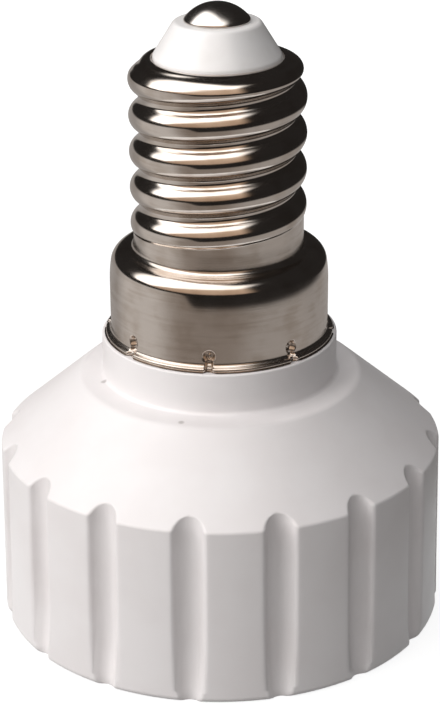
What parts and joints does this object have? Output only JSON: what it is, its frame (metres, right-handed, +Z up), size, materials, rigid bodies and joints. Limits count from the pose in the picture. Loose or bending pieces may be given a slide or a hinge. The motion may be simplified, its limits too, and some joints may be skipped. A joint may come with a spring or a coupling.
{
  "type": "lamp socket adapter",
  "caption": "Lamp socket adapter with a small screw cap above and a fluted white housing below that holds a twist-lock socket for a two-pin lamp.",
  "frame": {"origin": "centre of the bottom rim of the fluted skirt", "axes": "+Z up along the adapter's axis, towards the screw cap; +X through one keyhole's entry"},
  "size_m": [0.0348, 0.0348, 0.0489],
  "materials": {
    "housing": "white, satin, finely textured",
    "shell": "nickel-plated sheet, satin, finely drawn",
    "insulator": "white, half-gloss",
    "contact": "nickel-plated, smooth",
    "insert": "white, matt",
    "spring": "plain spring metal",
    "rivet": "plain",
    "screw": "zinc-plated",
    "sleeve": "silicone sleeve, matt"
  },
  "bodies": {
    "root": {"housing": "housing", "screw_shell": "shell", "cap_insulator": "insulator", "centre_contact": "contact", "socket_insert": "insert", "insert_cover": "insert", "contact_spring_live": "spring", "contact_spring_neutral": "spring", "rivet_live": "rivet", "rivet_neutral": "rivet", "insert_screw_right": "screw", "insert_screw_left": "screw", "live_wire": "sleeve", "neutral_wire": "sleeve"}
  },
  "joints": []
}
